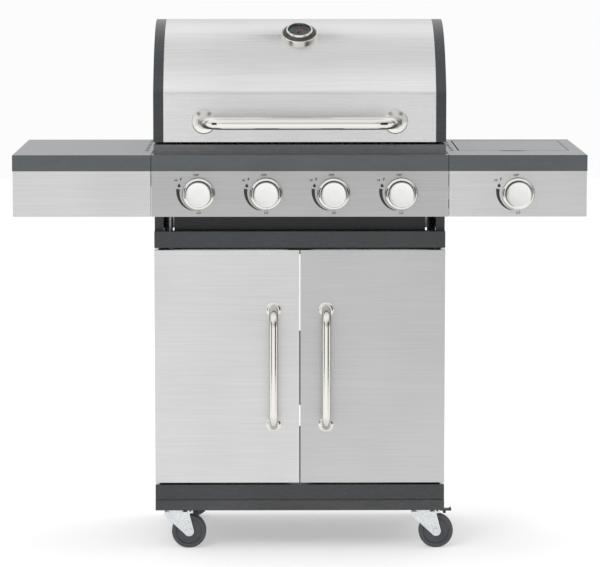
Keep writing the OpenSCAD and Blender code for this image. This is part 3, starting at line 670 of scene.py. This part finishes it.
# %% Bezels
BEZEL_OUTLINE = [(28.4, 0.0), (28.4, 5.4), (28.9, 6.0), (30.4, 5.8), (33.4, 4.2), (35.4, 1.8),
                 (36.0, 1.0), (36.0, 0.0)]
rings = bmesh.new()
for x, z in knob_centres:
    outline = [(r * MM, h * MM) for r, h in round_corners(BEZEL_OUTLINE, 0.8)]
    turn(rings, outline, (x, panel_front, z), FRONTWARD)
bmesh.ops.recalc_face_normals(rings, faces=rings.faces)
piece_from("knob_bezels_polished", rings, MIRROR_STEEL, "cart", ["knob_bezels"])
print("bezel rings:", len(knob_centres))

# %% [markdown]
# ## Knobs
# Each knob is two pieces: a dark grip with a groove near its foot, and a satin face with
# a chamfer and a shallow dish. One outline with two materials would do, but turning them
# apart keeps the line between the two finishes sharp.

# %% Knobs
GRIP_OUTLINE = [(0.0, 0.0), (27.2, 0.0), (27.7, 0.6), (27.7, 5.4), (26.9, 6.0), (26.9, 7.6),
                (27.6, 8.2), (27.4, 21.4)]
FACE_OUTLINE = [(27.4, 21.4), (27.5, 22.4), (26.2, 24.4), (25.2, 25.0), (24.2, 24.6), (12.0, 24.2),
                (0.0, 24.2)]
for name, (x, z) in zip(knob_names, knob_centres):
    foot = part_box(name)[1][1]
    maker = bmesh.new()
    body = name if name != "side_knob" else "knob_side"
    turn(maker, [(r * MM, h * MM) for r, h in round_corners(GRIP_OUTLINE, 0.5)],
         (x, foot, z), FRONTWARD)
    bmesh.ops.recalc_face_normals(maker, faces=maker.faces)
    # Painted shade: the grip is dark to stand for the shadowed gap between the bezel and the knob
    # face.
    piece_from(name + "_grip", maker, DARK_BEZEL, body, [name])
    maker = bmesh.new()
    turn(maker, [(r * MM, h * MM) for r, h in round_corners(FACE_OUTLINE, 0.4)],
         (x, foot, z), FRONTWARD)
    piece_from(name + "_face", maker, KNOB_FACE, body)
print("knobs turned:", len(knob_names))

# %% [markdown]
# ## Printed marks
# Round every knob the panel is screen printed: off at the top, high and low along a
# swept bar that thins out, a spark and a flame. Ink is a few hundredths of a millimetre
# thick, so each mark is a flat shape just proud of the steel. A printed picture would
# blur close up, and these stay sharp. The letters are text objects, and the rest are
# outlines filled as single faces.

# %% Printed marks
INK_PROUD = 0.00012
INK_DEPTH = 0.00003
INK_THICK = 0.00005
LETTER_SWELL = 0.0002
LETTER_SIZE = 6.8 * MM


def ink_shape(maker, centre, outline):
    """Adds one flat shape of ink, with corners (right, up) in millimetres from a knob."""
    corners = [maker.verts.new((centre[0] + u * MM, panel_front - INK_PROUD, centre[1] + v * MM))
               for u, v in outline]
    maker.faces.new(corners)


def ink_word(name, word, centre, right, up):
    """Prints a word on the panel, at (right, up) in millimetres from a knob's centre."""
    letters = bpy.data.curves.new(name, "FONT")
    letters.body = word
    letters.size = LETTER_SIZE
    letters.align_x = "CENTER"
    letters.align_y = "CENTER"
    letters.extrude = INK_DEPTH
    letters.offset = LETTER_SWELL
    letters.materials.append(PANEL_INK)
    made = bpy.data.objects.new(name, letters)
    made.location = (centre[0] + right * MM, panel_front - INK_PROUD, centre[1] + up * MM)
    made.rotation_euler = (math.pi / 2, 0, 0)
    bpy.context.scene.collection.objects.link(made)
    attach(made, "cart")


SPARK = [(0.4, 5.0), (-3.6, -0.6), (-0.6, -0.2), (-3.2, -5.4), (3.4, 1.2), (0.6, 0.8), (3.2, 5.0)]
FLAME = [(0.0, 5.4), (-1.6, 2.6), (-3.4, 0.0), (-3.6, -2.2), (-2.4, -4.2), (0.0, -5.0), (2.4, -4.2),
         (3.6, -2.2), (3.2, 0.4), (1.8, 2.0)]
BAR_START = math.radians(166)
BAR_END = math.radians(256)
BAR_STEPS = 28
BAR_RADIUS = 41.6
BAR_PULL_IN = 4.4
BAR_WIDTH = 8.0
for number, centre in enumerate(knob_centres, 1):
    maker = bmesh.new()
    for i in range(BAR_STEPS):
        quad = []
        for step, side in ((i, 0), (i + 1, 0), (i + 1, 1), (i, 1)):
            t = step / BAR_STEPS
            around = BAR_START + (BAR_END - BAR_START) * t
            radius = (BAR_RADIUS - BAR_PULL_IN * t) + side * BAR_WIDTH * (1 - t) ** 0.8
            quad.append((radius * math.cos(around), radius * math.sin(around)))
        if i == BAR_STEPS - 1:
            quad.pop(2)
        ink_shape(maker, centre, quad)
    ink_shape(maker, centre, [(-38.4 + u * 0.8, 31.6 + v * 0.8) for u, v in SPARK])
    ink_shape(maker, centre, [(-42.0 + u, 18.6 + v * 0.9) for u, v in FLAME])
    bmesh.ops.recalc_face_normals(maker, faces=maker.faces)
    marks = piece_from(f"panel_marks_{number}", maker, PANEL_INK, "cart",
                       smooth=False)
    marks.modifiers.new("ink_depth", "SOLIDIFY").thickness = INK_THICK
    ink_word(f"mark_off_{number}", "OFF", centre, -5.0, 41.0)
    ink_word(f"mark_hi_{number}", "HI", centre, -49.2, 29.6)
    ink_word(f"mark_lo_{number}", "LO", centre, 0.2, -41.4)
print("marks round", len(knob_centres), "knobs")

# %% [markdown]
# ## Thermometer
# The thermometer is a pressed steel case bolted through the hood: a wide bright skirt, a
# dark grooved cone, and a rolled bezel that holds the glass. Its dial is black with white
# strokes. All of it is turned round one axis, the needle's own, which leans forward with
# the slope of the hood. Four turned pieces, and not one, keep the finishes apart.

# %% Thermometer case
def turned_on_hood(name, outline, material, stands_for=(), corner=0.4):
    """Turns an outline in millimetres round the thermometer's axis."""
    maker = bmesh.new()
    turn(maker, [(r * MM, h * MM) for r, h in round_corners(outline, corner)],
         gauge_place, gauge_axis, 128)
    bmesh.ops.recalc_face_normals(maker, faces=maker.faces)
    return piece_from(name, maker, material, "hood", stands_for)


SKIRT_OUTLINE = [(39.6, -7.0), (39.6, 9.4), (38.4, 10.8), (36.8, 10.6), (36.0, 9.8)]
turned_on_hood("thermometer_skirt", SKIRT_OUTLINE, MIRROR_STEEL,
               ["thermometer"])
GROOVES = 4
GROOVE_STEP_IN = 1.45
GROOVE_STEP_UP = 0.95
groove_outline = [(36.4, 9.6), (36.2, 11.1)]
for i in range(GROOVES):
    r, h = 35.6 - i * GROOVE_STEP_IN, 11.5 + i * GROOVE_STEP_UP
    groove_outline += [(r, h), (r - 0.5, h - 0.35)]
groove_outline += [(29.6, 15.6), (29.0, 15.2)]
turned_on_hood("thermometer_collar", groove_outline, DARK_BEZEL, corner=0.15)
RIM_OUTLINE = [(29.2, 8.0), (29.2, 17.0), (28.6, 19.0), (27.2, 20.0), (26.0, 19.6), (25.7, 18.8),
               (25.7, 12.0)]
turned_on_hood("thermometer_bezel", RIM_OUTLINE, MIRROR_STEEL)
DIAL_OUTLINE = [(25.7, 12.4), (24.0, 12.2), (0.0, 12.2)]
turned_on_hood("thermometer_dial", DIAL_OUTLINE, DIAL_FACE)
print("thermometer leans", round(math.degrees(gauge_axis.angle(Vector((0, 0, 1))))), "degrees")

# %% [markdown]
# The scale is printed on the dial with a stroke for every step and a longer one for every
# fifth. Each stroke is one flat face that points at the needle's axis, and a small red
# boss in the middle carries the needle.

# %% Dial strokes
DIAL_TOP = 12.32 * MM
STROKE_END = 22.8
# Where a stroke starts and how wide it is, for every fifth step and for the others.
STROKES = {True: (18.8, 0.9), False: (21.0, 0.35)}
swing = Vector((0, 0, 1)).rotation_difference(gauge_axis).to_matrix().to_4x4()
dial_frame = Matrix.Translation(gauge_place) @ swing
maker = bmesh.new()
SCALE_START, SCALE_END, SCALE_STEPS = -90, 180, 30
BOSS_OUTLINE = [(2.9, 12.3), (2.9, 15.4), (2.3, 15.9), (0.0, 15.9)]


def dial_stroke(inner, outer, around, width):
    """One white stroke that points at the middle of the dial."""
    corners = []
    for radius, side in ((inner, -1), (outer, -1), (outer, 1), (inner, 1)):
        spot = Vector((radius * math.cos(around), radius * math.sin(around)))
        spot += Vector((-math.sin(around), math.cos(around))) * side * width / 2
        corners.append(maker.verts.new(dial_frame @ Vector((spot.x * MM, spot.y * MM, DIAL_TOP))))
    maker.faces.new(corners)


for i in range(SCALE_STEPS + 1):
    around = math.radians(SCALE_START + (SCALE_END - SCALE_START) * i / SCALE_STEPS)
    inner, width = STROKES[i % 5 == 0]
    dial_stroke(inner, STROKE_END, around, width)
bmesh.ops.recalc_face_normals(maker, faces=maker.faces)
piece_from("thermometer_strokes", maker, DIAL_INK, "hood", smooth=False)
maker = bmesh.new()
turn(maker, [(r * MM, h * MM) for r, h in BOSS_OUTLINE], gauge_place, gauge_axis, 32)
bmesh.ops.recalc_face_normals(maker, faces=maker.faces)
piece_from("needle_boss", maker, NEEDLE_RED, "needle")
print("dial strokes:", SCALE_STEPS + 1)
